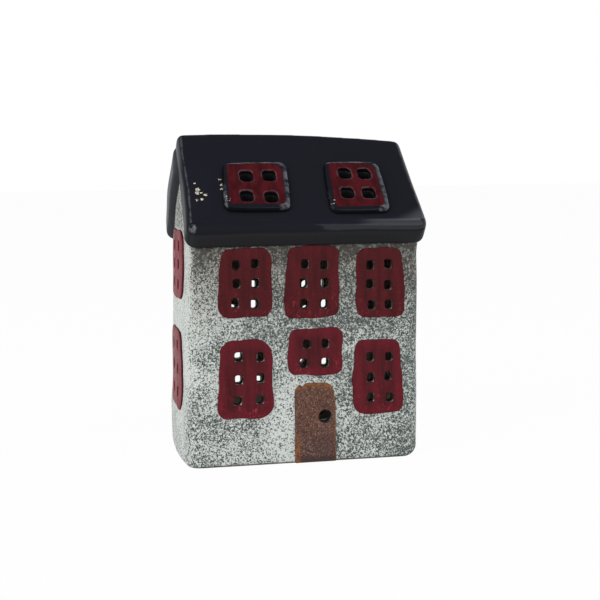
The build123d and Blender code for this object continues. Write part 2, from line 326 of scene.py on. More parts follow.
# How thickly the flecks lie, as shares that are added to their noise. Everywhere but on the left gable they
# thicken from a height up to the eave.
CLIMB_START = 20 * MM
CLIMB_CROWD = 0.05
BACK_CROWD = 0.015
RIGHT_CROWD = 0.03

# On the front wall they thicken to the right, at both feet, and below the eave, where they partly paint
# shade.
FRONT_CROWD = 0.018
ACROSS_FADE = (-42 * MM, 4 * MM)
ACROSS_CROWD = 0.022
ACROSS_CLIMB = 0.070
EAVE_BAND = (EAVE - 24 * MM, EAVE - 2 * MM)
EAVE_CROWD = 0.19
FOOT_CROWDS = (
    (0.040, (34 * MM, 48 * MM), (40 * MM, 12 * MM)),
    (0.025, (-30 * MM, -44 * MM), (26 * MM, 8 * MM)),
)

# Left of the door they lie thin.
DOOR_SPARSE = Vector((-9 * MM, 0, 16 * MM))
DOOR_STRETCH = 0.6
DOOR_FADE = (16 * MM, 5 * MM)
DOOR_THINNING = 0.06

# The left gable has few of them, but for the eave, the foot and the lower front corner.
LEFT_CROWD = -0.065
LEFT_EAVE_BAND = (EAVE - 12 * MM, EAVE + 10 * MM)
LEFT_EAVE_CROWD = 0.12
LEFT_FOOT = (45 * MM, 10 * MM)
LEFT_FOOT_CROWD = 0.03
LEFT_CORNER = (0.5 * HALF_DEPTH, 0.95 * HALF_DEPTH)
LEFT_CORNER_FOOT = (45 * MM, 8 * MM)
LEFT_CORNER_CROWD = 0.07

# Studio: the floor's reach and whiteness, and where the white horizon ends and the dark ceiling starts.
FLOOR_REACH = 6.0
FLOOR_WHITE = 0.97
HORIZON_END = 0.30
CEILING_START = 0.72


def smooth_step(low, high, values):
    """0 below low, 1 above high, and a smooth climb between."""
    t = np.clip((values - low) / (high - low), 0, 1)
    return t * t * (3 - 2 * t)


# Meshes

def cad_form(nodes, outward=None, sink=0.0):
    """The joined surface of some nodes. Faces that look against outward are pressed in by sink."""
    form = bmesh.new()
    for node in nodes:
        form.from_mesh(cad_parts[node].data)
    bmesh.ops.remove_doubles(form, verts=form.verts, dist=MERGE_DISTANCE)
    form.normal_update()
    if outward is not None:
        backs = {vert for face in form.faces if face.normal.dot(outward) < BACK_FACING for vert in face.verts}
        for vert in backs:
            vert.co -= outward * sink
    mesh = bpy.data.meshes.new("form")
    form.to_mesh(mesh)
    form.free()
    return mesh


def voxel_mesh(name, form, voxel):
    """An even mesh of small squares over a closed form."""
    holder = bpy.data.objects.new("holder", form)
    bpy.context.scene.collection.objects.link(holder)
    grid = holder.modifiers.new("grid", "REMESH")
    grid.mode = "VOXEL"
    grid.voxel_size = voxel
    graph = bpy.context.evaluated_depsgraph_get()
    mesh = bpy.data.meshes.new_from_object(holder.evaluated_get(graph))
    mesh.name = name
    bpy.data.objects.remove(holder)
    bpy.data.meshes.remove(form)
    return mesh


def points_of(mesh):
    flat = np.empty(len(mesh.vertices) * 3)
    mesh.vertices.foreach_get("co", flat)
    return flat.reshape(-1, 3)


def normals_of(mesh):
    flat = np.empty(len(mesh.vertices) * 3)
    mesh.vertex_normals.foreach_get("vector", flat)
    return flat.reshape(-1, 3)


def move_points(mesh, points):
    mesh.vertices.foreach_set("co", points.ravel())
    mesh.update()


def relax(mesh, rounds):
    """Draws each point towards its neighbours, which rounds edges as soft clay and glaze do."""
    pairs = np.empty(len(mesh.edges) * 2, dtype=np.int32)
    mesh.edges.foreach_get("vertices", pairs)
    pairs = pairs.reshape(-1, 2)
    points = points_of(mesh)
    count = np.bincount(pairs.ravel(), minlength=len(points))[:, None]
    for _ in range(rounds):
        total = np.zeros_like(points)
        for axis in range(3):
            total[:, axis] += np.bincount(pairs[:, 0], points[pairs[:, 1], axis], len(points))
            total[:, axis] += np.bincount(pairs[:, 1], points[pairs[:, 0], axis], len(points))
        points += RELAX_PULL * (total / count - points)
    move_points(mesh, points)


def unevenness(point, dents):
    """The hand-built shift at a place; neighbours shift alike, so joined pieces stay joined."""
    shift = noise.noise_vector(point / BEND_LENGTH) * BEND_SIZE
    return shift + noise.noise_vector(point / DENT_LENGTH) * (DENT_SIZE * dents)


def wall_lean(points):
    """Sideways shift of the walls: the left gable leans in, the right one flares out at its front corner."""
    x, y, z = points.T
    leftness = smooth_step(-LEFT_FADE * HALF_WIDTH, -HALF_WIDTH, x)
    rightness = smooth_step(RIGHT_FADE * HALF_WIDTH, HALF_WIDTH, x)
    lean = LEAN_SIZE * (np.maximum(z - LEAN_START, 0) / LEAN_SPAN) ** 2
    bulge = BULGE_SIZE * smooth_step(BULGE_TOP, 0.5 * BULGE_TOP, z)
    flare = FLARE_SIZE * smooth_step(EAVE - FLARE_SPAN, EAVE, z)
    belly = BELLY_SIZE * smooth_step(BELLY_START, BELLY_END, z)
    near_front = smooth_step(CORNER_START * HALF_DEPTH, CORNER_END * HALF_DEPTH, -y)
    corner = near_front * smooth_step(EAVE + FLARE_SPAN, EAVE, z)
    return leftness * (lean - bulge) + rightness * corner * (flare + belly)


def ease_in(x):
    """Eases what bulges past the gables back inside the solid's box; what lies on top stays on top."""
    size = np.abs(x)
    room = cad_box[1][0] - EASE_START
    eased = EASE_START + room * np.tanh((size - EASE_START) / room)
    return np.sign(x) * np.where(size < EASE_START, size, eased)


def wear_base(mesh):
    """Rounds the lower edge of the right gable."""
    points = points_of(mesh)
    x, _, z = points.T
    over = np.maximum(x - (GABLE_FACE - BASE_WEAR), 0)
    under = np.maximum(BASE_WEAR - z, 0)
    reach = np.hypot(over, under)
    share = np.where((over > 0) & (under > 0), np.minimum(BASE_WEAR / np.maximum(reach, TINY), 1), 1)
    points[:, 0] -= over * (1 - share)
    points[:, 2] += under * (1 - share)
    move_points(mesh, points)


def make_uneven(mesh, dents=1.0, lean=None):
    """Shifts a mesh by the unevenness, and keeps it on the table and inside the solid's box."""
    points = points_of(mesh)
    shifts = np.array([unevenness(Vector(point), dents) for point in points])
    shifts[:, 2] *= smooth_step(0, FLAT_BASE, points[:, 2])
    if lean is not None:
        shifts[:, 0] += lean(points)
    points += shifts
    if lean is wall_lean:
        points[:, 0] = ease_in(points[:, 0])
    move_points(mesh, np.clip(points, np.array(cad_box[0]), np.array(cad_box[1])))


def write_attribute(mesh, name, values):
    layer = mesh.attributes.new(name, "FLOAT", "POINT")
    layer.data.foreach_set("value", np.ascontiguousarray(values, dtype=np.float32))


def shade_smooth(mesh):
    mesh.polygons.foreach_set("use_smooth", [True] * len(mesh.polygons))


def paint(mesh, material):
    """Makes a material the only one of a mesh."""
    mesh.materials.clear()
    mesh.materials.append(material)


def add_piece(mesh, node, material):
    """Shows a mesh of the house in place of a node."""
    piece = bpy.data.objects.new(node + "_fired", mesh)
    bpy.context.scene.collection.objects.link(piece)
    paint(mesh, material)
    shade_smooth(mesh)
    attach(piece, "house")
    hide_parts(node)


# Materials

class Look:
    """One node material, with short forms for the nodes it is wired from."""

    def __init__(self, name):
        self.material = bpy.data.materials.new(name)
        self.material.use_nodes = True
        self.tree = self.material.node_tree
        self.surface = self.tree.nodes["Principled BSDF"]
        self.place = self.node("TexCoord", {}).outputs["Object"]

    def node(self, kind, inputs, **settings):
        made = self.tree.nodes.new("ShaderNode" + kind)
        for key, value in settings.items():
            setattr(made, key, value)
        for key, value in inputs.items():
            self.put(made.inputs[key], value)
        return made

    def put(self, socket, value):
        if isinstance(value, bpy.types.NodeSocket):
            self.tree.links.new(value, socket)
        else:
            socket.default_value = value

    def set(self, **values):
        """Sets the surface's sockets; underscores in a name stand for spaces."""
        for key, value in values.items():
            self.put(self.surface.inputs[key.replace("_", " ")], value)

    def stretched(self, x, y, z):
        """The place, scaled along each axis."""
        return self.node("Mapping", {"Vector": self.place, "Scale": (x, y, z)}).outputs[0]

    def noise(self, size, detail=2.0, roughness=0.5, distortion=0.0, place=None):
        """Noise with features of about the given size in metres."""
        inputs = {
            "Vector": place or self.place,
            "Scale": 1 / size,
            "Detail": detail,
            "Roughness": roughness,
            "Distortion": distortion,
        }
        return self.node("TexNoise", inputs).outputs["Fac"]

    def step(self, value, low, high, start=0.0, end=1.0):
        """Climbs smoothly from start to end while the value goes from low to high."""
        inputs = {"Value": value, "From Min": low, "From Max": high, "To Min": start, "To Max": end}
        return self.node("MapRange", inputs, interpolation_type="SMOOTHSTEP").outputs[0]

    def math(self, operation, first, second):
        return self.node("Math", {0: first, 1: second}, operation=operation).outputs[0]

    def axis(self, letter):
        return self.node("SeparateXYZ", {"Vector": self.place}).outputs[letter]

    def mix(self, factor, first, second):
        """Blends two colours, each a socket or three numbers."""
        first = first if isinstance(first, bpy.types.NodeSocket) else (*first, 1)
        second = second if isinstance(second, bpy.types.NodeSocket) else (*second, 1)
        return self.node("Mix", {0: factor, 6: first, 7: second}, data_type="RGBA").outputs[2]

    def attribute(self, name):
        return self.node("Attribute", {}, attribute_name=name).outputs["Fac"]

    def bump(self, height, depth, strength=1.0):
        inputs = {"Height": height, "Distance": depth, "Strength": strength}
        self.put(self.surface.inputs["Normal"], self.node("Bump", inputs).outputs[0])


def wall_glaze():
    """Pale satin glaze, thick with short dark flecks, over warm clay inside; painted shade at eaves, holes
    and foot.
    """
    look = Look("speckled_wall_glaze")
    under_eave = look.attribute("painted_eave_shade")
    patches = look.step(look.noise(15 * MM, 3, 0.6), 0.3, 0.7, -0.04, 0.04)
    crowd = look.math("ADD", look.attribute("crowd"), patches)

    worms = look.noise(0.76 * MM, 2.0, 0.5, 0.9)
    flecks = look.step(look.math("ADD", worms, crowd), 0.505, 0.56)
    grit = look.noise(0.42 * MM, 1.0, 0.5, 0.3)
    dust = look.step(look.math("ADD", grit, crowd), 0.56, 0.66, 0, 0.5)
    dark = look.math("MAXIMUM", flecks, dust)

    pale = look.mix(look.noise(7 * MM, 3, 0.6), (0.57, 0.615, 0.57), (0.74, 0.755, 0.715))
    # painted shade under the eaves: the pale glaze and its flecks turn brown and dark there
    pale = look.mix(under_eave, pale, (0.36, 0.33, 0.28))
    ink = look.mix(under_eave, (0.064, 0.080, 0.073), (0.048, 0.040, 0.034))
    ink = look.mix(look.step(look.noise(1.6 * MM, 1), 0.45, 0.75), ink, (0.17, 0.19, 0.17))
    glaze = look.mix(dark, pale, ink)

    clay_tone = look.noise(2 * MM, 4, 0.65)
    # painted shade in the pane holes: their bare clay sides are dark, while the clay inside the house is pale
    clay_with_hole_shade = look.mix(clay_tone, (0.040, 0.032, 0.027), (0.080, 0.064, 0.053))
    inside = look.mix(clay_tone, (0.44, 0.35, 0.29), (0.56, 0.455, 0.385))
    clay_with_hole_shade = look.mix(look.attribute("inner"), clay_with_hole_shade, inside)
    # painted contact shadow: a dark line along the lowest millimetre of the walls
    painted_base_shadow = look.step(look.axis("Z"), 0.4 * MM, 1.1 * MM, 1, 0)
    glaze = look.mix(painted_base_shadow, glaze, (0.045, 0.045, 0.042))
    look.set(Base_Color=look.mix(look.attribute("glazed"), clay_with_hole_shade, glaze))
    look.set(Roughness=look.step(look.math("ADD", dark, look.noise(3 * MM, 2)), 0, 2, 0.42, 0.68))
    look.set(Specular_IOR_Level=0.25)
    relief = look.math("SUBTRACT", look.noise(0.8 * MM, 3, 0.6), look.math("MULTIPLY", dark, 0.3))
    look.bump(relief, 0.14 * MM, 0.7)
    return look.material


def roof_glaze():
    """Deep glossy navy-black, grey where thin at edges; painted glints, reflections and lit ends in grey."""
    look = Look("black_roof_glaze")
    tint = look.mix(look.noise(30 * MM, 2), (0.0112, 0.0117, 0.0138), (0.0126, 0.0133, 0.0200))
    dry = look.attribute("dry")
    # painted reflection: the undersides are painted grey, standing in for the floor reflected in them
    tint = look.mix(look.attribute("under"), tint, (0.0225, 0.0228, 0.0242))
    # painted light: the reflection wedge and the lit ends and lip are painted grey
    tint = look.mix(look.attribute("painted_roof_light"), tint, (0.072, 0.075, 0.086))
    patches = look.step(look.noise(3.2 * MM, 3, 0.65), 0.36, 0.58)
    thin = look.math("MULTIPLY", look.attribute("thin_glaze_and_highlight"), patches)
    # painted glints: pale specks that stand for highlights of the lamps
    crumbled = look.step(look.noise(0.8 * MM, 2), 0.3, 0.7, -0.7, 0.5)
    glints = look.step(look.math("ADD", look.attribute("painted_glint"), crumbled), 0.55, 0.75)
    black = look.mix(thin, tint, (0.115, 0.125, 0.14))
    ragged = look.step(look.noise(2.4 * MM, 3, 0.7), 0.40, 0.60)
    bare = look.math("MULTIPLY", look.attribute("bare"), ragged)
    black = look.mix(look.step(bare, 0.1, 0.9), black, (0.15, 0.16, 0.172))
    look.set(Base_Color=look.mix(glints, black, (0.74, 0.66, 0.50)))
    rough = look.math("ADD", look.math("ADD", look.math("MAXIMUM", thin, bare), dry), look.noise(5 * MM, 2))
    look.set(Roughness=look.step(rough, 0.2, 1.4, 0.05, 0.36))
    look.set(Specular_IOR_Level=look.step(dry, 0, 1, 0.28, 0.03))
    waves = look.math("MULTIPLY", look.noise(7 * MM, 2, 0.45), 0.25)
    look.bump(look.math("ADD", waves, glints), 0.40 * MM, 0.6)
    return look.material


def window_glaze(name, deep, bright, marks, gloss=0.12):
    """Brushed red glaze: upright strokes, pinker and scratchier where the brush was lifted."""
    look = Look(name)
    strokes = look.noise(1 * MM, 3, 0.6, 0.2, look.stretched(0.30, 0.30, 0.045))
    red = look.mix(look.step(strokes, 0.26, 0.74), deep, bright)
    low_end = look.attribute("foot")
    scratches = look.noise(1 * MM, 3, 0.65, 2.2, look.stretched(0.75, 0.75, 0.40))
    dabs = look.step(look.noise(5 * MM, 1), 0.46, 0.60)
    scratched = look.math("MULTIPLY", look.step(scratches, 0.56, 0.64), look.step(low_end, 0.45, 0.95))
    scratched = look.math("MULTIPLY", scratched, dabs)
    red = look.mix(look.math("MULTIPLY", scratched, marks), red, (0.42, 0.040, 0.065))
    border = look.math("MULTIPLY", look.attribute("border"), BORDER_GAIN * marks - BORDER_LOSS)
    red = look.mix(border, red, (0.165, 0.0095, 0.020))
    edge = look.attribute("edge")
    red = look.mix(look.math("MULTIPLY", edge, 0.45), red, (0.045, 0.008, 0.010))
    sides = look.attribute("hole")
    look.set(Base_Color=look.mix(sides, red, (0.030, 0.012, 0.012)))
    look.set(Roughness=look.step(look.noise(2.5 * MM, 3, 0.6), 0.25, 0.75, 0.16, 0.34))
    look.set(Specular_IOR_Level=gloss)
    look.bump(look.math("ADD", strokes, look.noise(3.5 * MM, 2)), 0.10 * MM, 0.6)
    return look.material


def skylight_glaze():
    """Red face and black raised rim, grey with wear and painted highlights, plus painted glints and shade."""
    look = Look("skylight_glaze")
    strokes = look.noise(1 * MM, 3, 0.6, 0.3, look.stretched(0.25, 0.12, 0.12))
    red = look.mix(look.step(strokes, 0.35, 0.65), (0.046, 0.0050, 0.0066), (0.084, 0.0080, 0.0105))
    edge = look.math("MULTIPLY", look.attribute("edge"), look.step(look.noise(2.4 * MM, 2), 0.35, 0.6))
    red = look.mix(look.math("MULTIPLY", edge, 0.6), red, (0.17, 0.12, 0.115))
    ring = look.math("MULTIPLY", look.attribute("ring"), look.step(look.noise(3 * MM, 2), 0.42, 0.60))
    red = look.mix(look.math("MULTIPLY", ring, 0.5), red, (0.125, 0.085, 0.09))
    rim = look.attribute("rim")
    ragged = look.step(look.noise(1.6 * MM, 2), 0.2, 0.8, -0.25, 0.25)
    rim = look.step(look.math("ADD", rim, ragged), 0.40, 0.60)
    # grey on the rim: worn glaze, partly painted highlights along its edges
    thin = look.math("MULTIPLY", look.attribute("thin_glaze_and_highlight"), look.step(look.noise(2.8 * MM, 2), 0.28, 0.62))
    # painted shade: the rim's black is darker on the sides turned from the light
    black = look.mix(look.attribute("dry"), (0.010, 0.0105, 0.014), (0.0045, 0.0047, 0.0063))
    black = look.mix(thin, black, (0.125, 0.128, 0.142))
    face = look.mix(rim, red, black)
    # painted glints: pale specks at the rim's lower left that stand for highlights
    glint_specks = look.math("MULTIPLY", look.step(look.noise(0.75 * MM, 1), 0.60, 0.64), look.attribute("painted_rim_glint"))
    face = look.mix(look.step(glint_specks, 0.4, 0.6), face, (0.47, 0.45, 0.42))
    look.set(Base_Color=look.mix(look.attribute("hole"), face, (0.006, 0.006, 0.008)))
    look.set(Roughness=look.step(look.noise(3 * MM, 2), 0.3, 0.7, 0.10, 0.24))
    look.set(Specular_IOR_Level=look.step(look.attribute("dry"), 0, 1, 0.28, 0.02))
    look.bump(look.math("ADD", strokes, look.noise(2.5 * MM, 2)), 0.09 * MM, 0.6)
    return look.material


def door_clay():
    """Rough brown clay, sandy, with rusty edges and a darker foot."""
    look = Look("brown_door_clay")
    brown = look.mix(look.noise(5 * MM, 3, 0.6), (0.084, 0.034, 0.021), (0.142, 0.061, 0.039))
    foot = look.step(look.axis("Z"), 1 * MM, 22 * MM, 1, 0)
    brown = look.mix(look.math("MULTIPLY", foot, 0.75), brown, (0.066, 0.037, 0.037))
    sand = look.step(look.noise(0.46 * MM, 1.5, 0.6), 0.56, 0.63)
    brown = look.mix(look.math("MULTIPLY", sand, 0.62), brown, (0.44, 0.27, 0.20))
    sole = look.step(look.axis("Z"), 2.2 * MM, 4.2 * MM, 0.75, 0)
    brown = look.mix(sole, brown, (0.050, 0.026, 0.025))
    grains = look.step(look.noise(0.75 * MM, 2, 0.6, 0.4), 0.40, 0.48, 1, 0)
    brown = look.mix(look.math("MULTIPLY", grains, 0.7), brown, (0.045, 0.020, 0.015))
    rust = look.math("MULTIPLY", look.attribute("rust"), look.step(look.noise(2.2 * MM, 3, 0.6), 0.36, 0.60))
    brown = look.mix(rust, brown, (0.29, 0.10, 0.018))
    look.set(Base_Color=look.mix(look.attribute("hole"), brown, (0.011, 0.012, 0.020)))
    look.set(Roughness=look.step(sand, 0, 1, 0.62, 0.8))
    look.set(Specular_IOR_Level=0.25)
    look.bump(look.math("SUBTRACT", look.noise(0.8 * MM, 3, 0.7), grains), 0.22 * MM, 0.8)
    return look.material


def cup_foil():
    look = Look("tealight_foil")
    brushed = look.noise(1 * MM, 3, 0.6, 0.0, look.stretched(1.5, 1.5, 0.2))
    look.set(Base_Color=look.mix(brushed, (0.66, 0.66, 0.67), (0.84, 0.84, 0.85)))
    look.set(Metallic=1.0)
    look.set(Roughness=look.step(brushed, 0.3, 0.7, 0.24, 0.40))
    look.bump(brushed, 0.05 * MM, 0.4)
    return look.material


def paraffin():
    look = Look("paraffin_wax")
    cloud = look.noise(6 * MM, 3, 0.55)
    look.set(Base_Color=look.mix(cloud, (0.80, 0.775, 0.71), (0.88, 0.865, 0.82)))
    look.set(Roughness=look.step(cloud, 0.3, 0.7, 0.34, 0.48))
    look.set(Subsurface_Weight=0.25)
    look.set(Subsurface_Radius=(0.004, 0.003, 0.002))
    look.bump(look.noise(2.5 * MM, 2), 0.08 * MM, 0.5)
    return look.material


def wick_cotton():
    look = Look("wick_cotton")
    braid = look.node("TexWave", {"Vector": look.place, "Scale": 900.0, "Distortion": 1.5}).outputs["Fac"]
    look.set(Base_Color=look.mix(braid, (0.62, 0.59, 0.52), (0.84, 0.82, 0.76)))
    look.set(Roughness=0.85)
    look.bump(braid, 0.12 * MM, 0.8)
    return look.material


def sustainer_tin():
    look = Look("sustainer_tin")
    grain = look.noise(0.8 * MM, 3, 0.6)
    look.set(Base_Color=look.mix(grain, (0.50, 0.50, 0.49), (0.68, 0.68, 0.66)))
    look.set(Metallic=1.0)
    look.set(Roughness=look.step(grain, 0.3, 0.7, 0.3, 0.45))
    return look.material


# Applied panels: windows, door and skylights

def panel_mesh(node, outward, rounds=PANEL_ROUNDS):
    """An applied panel with its edges rounded."""
    mesh = voxel_mesh(node, cad_form([node], outward, PANEL_SINK), PANEL_VOXEL)
    relax(mesh, rounds)
    return mesh


def cut_by_hand(mesh, insets, across, up):
    """Lets the outline of a panel wander and spread a little; its panes stay where they are."""
    left, right, bottom, top = insets
    points = points_of(mesh)
    near = 1 - smooth_step(0, CUT_REACH, np.minimum.reduce(insets))
    shifts = np.zeros_like(points)
    for index in np.flatnonzero(near > 0):
        wander = noise.noise_vector(Vector(points[index]) / CUT_LENGTH + CUT_OFFSET)
        spread_x = np.exp(-right[index] / CUT_REACH) - np.exp(-left[index] / CUT_REACH)
        spread_up = np.exp(-top[index] / CUT_REACH) - np.exp(-bottom[index] / CUT_REACH)
        shift = across * (wander.x + CUT_SPREAD * spread_x) + up * (wander.z + CUT_SPREAD * spread_up)
        shifts[index] = shift * (CUT_SIZE * near[index])
    move_points(mesh, points + shifts)


def mark_edges(mesh, outward):
    """Marks the rounded edges, and the walls of the holes and the back, of a panel."""
    toward = normals_of(mesh) @ np.array(outward)
    write_attribute(mesh, "edge", smooth_step(*EDGE_FACING, toward))
    write_attribute(mesh, "hole", smooth_step(*HOLE_FACING, toward))


def add_window(node, outward, material):
    mesh = panel_mesh(node, outward)
    points = points_of(mesh)
    low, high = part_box(node)
    write_attribute(mesh, "foot", 1 - (points[:, 2] - low.z) / (high.z - low.z))
    across = UP.cross(outward)
    insets = panel_insets(points @ np.array(across), points[:, 2])
    write_attribute(mesh, "border", 1 - smooth_step(*BORDER_FADE, np.minimum.reduce(insets)))
    cut_by_hand(mesh, insets, across, UP)
    make_uneven(mesh, lean=wall_lean)
    mark_edges(mesh, outward)
    add_piece(mesh, node, material)


def door_rust(x, z, low, high):
    """Rust along the door's arched head, down its right side and in a streak at the lower left."""
    middle = (low.x + high.x) / 2
    from_top = high.z - z - RUST_ARCH * ((x - middle) / (high.x - low.x) * 2) ** 4
    top = 1 - smooth_step(*RUST_HEAD, from_top)
    right = RUST_RIGHT_SHARE * (1 - smooth_step(*RUST_RIGHT, high.x - x))
    streak = 1 - smooth_step(*STREAK_WIDTH, x - low.x + STREAK_SLANT * z)
    streak *= 1 - smooth_step(*STREAK_TOP, z)
    return np.maximum.reduce([top, right, streak])


def add_door(material):
    mesh = panel_mesh(DOOR, FRONT)
    low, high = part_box(DOOR)
    x, _, z = points_of(mesh).T
    write_attribute(mesh, "rust", door_rust(x, z, low, high))
    points = points_of(mesh)
    near_top = smooth_step(high.z - NOTCH_REACH, high.z, z)
    notch = np.exp(-(((x - low.x - NOTCH_PLACE) / NOTCH_WIDTH) ** 2))
    points[:, 2] -= NOTCH_DEPTH * notch * near_top
    narrow = smooth_step(high.z - TAPER_REACH, high.z, z) * smooth_step((low.x + high.x) / 2, high.x, x)
    points[:, 0] -= HEAD_TAPER * narrow
    move_points(mesh, points)
    make_uneven(mesh, lean=wall_lean)
    mark_edges(mesh, FRONT)
    add_piece(mesh, DOOR, material)


def panel_insets(across, along):
    """Distances of points from the left, right, lower and upper side of a panel that may lean."""
    middle = (along.max() + along.min()) / 2
    reach = (along.max() - along.min()) / 4
    low = np.abs(along - middle + reach) < reach / 2
    high = np.abs(along - middle - reach) < reach / 2
    climb = (along - middle + reach) / (2 * reach)
    left = across[low].min() + (across[high].min() - across[low].min()) * climb
    right = across[low].max() + (across[high].max() - across[low].max()) * climb
    return across - left, right - across, along - along.min(), along.max() - along


def pane_rings(mesh, outward, inset):
    """A thin ring on the face round each pane, where the glaze drew back from its edge."""
    points = points_of(mesh)
    face_on = normals_of(mesh) @ np.array(outward)
    pane_walls = np.flatnonzero((np.abs(face_on) < PANE_FACING) & (inset > PANE_INSET))
    tree = KDTree(len(pane_walls))
    for index in pane_walls:
        tree.insert(points[index], int(index))
    tree.balance()
    distances = np.array([tree.find(point)[2] for point in points])
    return np.exp(-(((distances - RING_PLACE) / RING_WIDTH) ** 2))


def red_inset(left, right, bottom, top):
    """How far inside the red of a skylight's face a point lies; the red has round corners."""
    aside = np.minimum(left - RED_LEFT, right - RED_RIGHT)
    ahead = np.minimum(bottom - RED_BOTTOM, top + RED_OVER_TOP)
    size = np.where((right < left) & (top < bottom), TOP_RIGHT_CORNER, RED_CORNER)
    rounded = size - np.hypot(size - aside, size - ahead)
    return np.where((aside < size) & (ahead < size), rounded, np.minimum(aside, ahead))


def rim_wear_and_highlight(node, inset, left, right, bottom, top):
    """Worn grey and painted highlight on a skylight's rim: along three sides and at the lower right corner.
    """
    right_rim = 1 - smooth_step(*WEAR_RIGHT, np.minimum(right, inset + WEAR_RED))
    right_rim *= smooth_step(*WEAR_RIGHT_HALF, left - right) * smooth_step(*WEAR_RIGHT_FOOT, bottom)
    left_rim = (1 - smooth_step(*WEAR_LEFT, left)) * (1 - smooth_step(*WEAR_LEFT_TOP, bottom))
    left_rim *= LEFT_WEAR[node]
    top_rim = 1 - smooth_step(*WEAR_TOP, top)
    from_corner = np.hypot(right - WEAR_CORNER_PLACE, bottom - WEAR_CORNER_PLACE)
    corner = 1 - smooth_step(*WEAR_CORNER, from_corner)
    return np.maximum.reduce([right_rim, left_rim, top_rim, corner])


def add_skylight(node, outward, uphill, material):
    mesh = panel_mesh(node, outward, SKYLIGHT_ROUNDS)
    points = points_of(mesh)
    normals = normals_of(mesh)
    insets = panel_insets(points[:, 0], points @ np.array(uphill))
    left, _, bottom, _ = insets
    inset = red_inset(*insets)
    write_attribute(mesh, "rim", 1 - smooth_step(*RIM_FADE, inset))
    write_attribute(mesh, "ring", pane_rings(mesh, outward, inset))
    # a painted glint at the rim's lower left
    glint_place = np.hypot(left - GLINT_LEFT, (bottom - GLINT_UP) / GLINT_STRETCH)
    write_attribute(mesh, "painted_rim_glint", 1 - smooth_step(*GLINT_FADE, glint_place))
    write_attribute(mesh, "thin_glaze_and_highlight", rim_wear_and_highlight(node, inset, *insets))
    # sides turned from the light: duller, and painted darker as shade
    away_from_light = np.minimum(normals @ np.array(uphill), normals[:, 0] + DULL_SHIFT)
    write_attribute(mesh, "dry", smooth_step(*DULL_FADE, away_from_light))
    make_uneven(mesh, SKYLIGHT_DENTS)
    mark_edges(mesh, outward)
    add_piece(mesh, node, material)


# Walls

def wall_pieces(panels, material):
    """One continuous glazed shell, cut at the mitred corners into the four wall slabs."""
    shell = voxel_mesh("wall_shell", cad_form(WALLS), WALL_VOXEL)
    relax(shell, WALL_ROUNDS)
    points = points_of(shell)
    plan = np.abs(points[:, :2]) - np.array([HALF_WIDTH - PLAN_MARGIN - CORNER, HALF_DEPTH - CORNER])
    outside = np.hypot(*np.maximum(plan, 0).T) + np.minimum(plan.max(axis=1), 0) - CORNER
    write_attribute(shell, "glazed", smooth_step(-2 * GLAZE_DEPTH, -GLAZE_DEPTH, outside))
    # painted shade under the eaves
    write_attribute(shell, "painted_eave_shade", eave_shade(points))
    write_attribute(shell, "inner", inner_faces(points, normals_of(shell)))
    write_attribute(shell, "crowd", fleck_crowd(points) - MARGIN_FADE * panel_margin(points, outside, panels))
    wear_base(shell)
    make_uneven(shell, lean=wall_lean)
    keep_normals(shell)
    for node in WALLS:
        add_piece(cut_wall(shell, node), node, material)
    bpy.data.meshes.remove(shell)


def gable_share(points):
    """1 on the gable walls, 0 on the front and back ones."""
    x, y, _ = points.T
    return smooth_step(*GABLE_FADE, np.abs(x) - HALF_WIDTH - np.abs(y) + HALF_DEPTH)


def inner_faces(points, normals):
    """1 on the faces that look into the house, 0 outside and on the sides of the holes."""
    gable = gable_share(points)
    x, y, _ = (np.sign(points) * normals).T
    return smooth_step(*INNER_FACING, gable * x + (1 - gable) * y)


def eave_shade(points):
    """How far painted shade browns the glaze towards the eaves; the gables stay pale."""
    rise = smooth_step(EAVE - SHADE_START, EAVE + SHADE_END, points[:, 2])
    return rise * (1 - GABLE_PALE * gable_share(points))


def fleck_crowd(points):
    """How thickly the flecks lie: sparse on the left gable, dense to the right and under the eaves."""
    x, y, z = points.T
    gable = gable_share(points)
    rise = smooth_step(CLIMB_START, EAVE, z)
    front = FRONT_CROWD + smooth_step(*ACROSS_FADE, x) * (ACROSS_CROWD + ACROSS_CLIMB * rise)
    # the thick band of flecks below the eave partly paints the shade under it
    front = np.maximum(front, FRONT_CROWD + EAVE_CROWD * smooth_step(*EAVE_BAND, z))
    for share, across, up in FOOT_CROWDS:
        front += share * smooth_step(*across, x) * smooth_step(*up, z)
    beside_door = np.hypot(x - DOOR_SPARSE.x, DOOR_STRETCH * (z - DOOR_SPARSE.z))
    front -= DOOR_THINNING * smooth_step(*DOOR_FADE, beside_door)
    back = BACK_CROWD + CLIMB_CROWD * rise
    left = LEFT_CROWD + LEFT_EAVE_CROWD * smooth_step(*LEFT_EAVE_BAND, z)
    left += LEFT_FOOT_CROWD * smooth_step(*LEFT_FOOT, z)
    left += LEFT_CORNER_CROWD * smooth_step(*LEFT_CORNER, -y) * smooth_step(*LEFT_CORNER_FOOT, z)
    right = RIGHT_CROWD + CLIMB_CROWD * rise
    return (1 - gable) * np.where(y < 0, front, back) + gable * np.where(x < 0, left, right)


def panel_margin(points, outside, panels):
    """1 beside an applied panel, falling to 0 a margin's width away."""
    places = [vert.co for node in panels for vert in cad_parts[node].data.vertices]
    tree = KDTree(len(places))
    for index, place in enumerate(places):
        tree.insert(place, index)
    tree.balance()
    margin = np.zeros(len(points))
    for index in np.flatnonzero(outside > -GLAZE_DEPTH):
        margin[index] = 1 - min(tree.find(points[index])[2] / MARGIN_WIDTH, 1)
    return margin


def keep_normals(mesh):
    """Stores the shell's normals, so that the cuts at the corners don't show."""
    layer = mesh.attributes.new("shell_normal", "FLOAT_VECTOR", "POINT")
    layer.data.foreach_set("vector", normals_of(mesh).ravel().astype(np.float32))


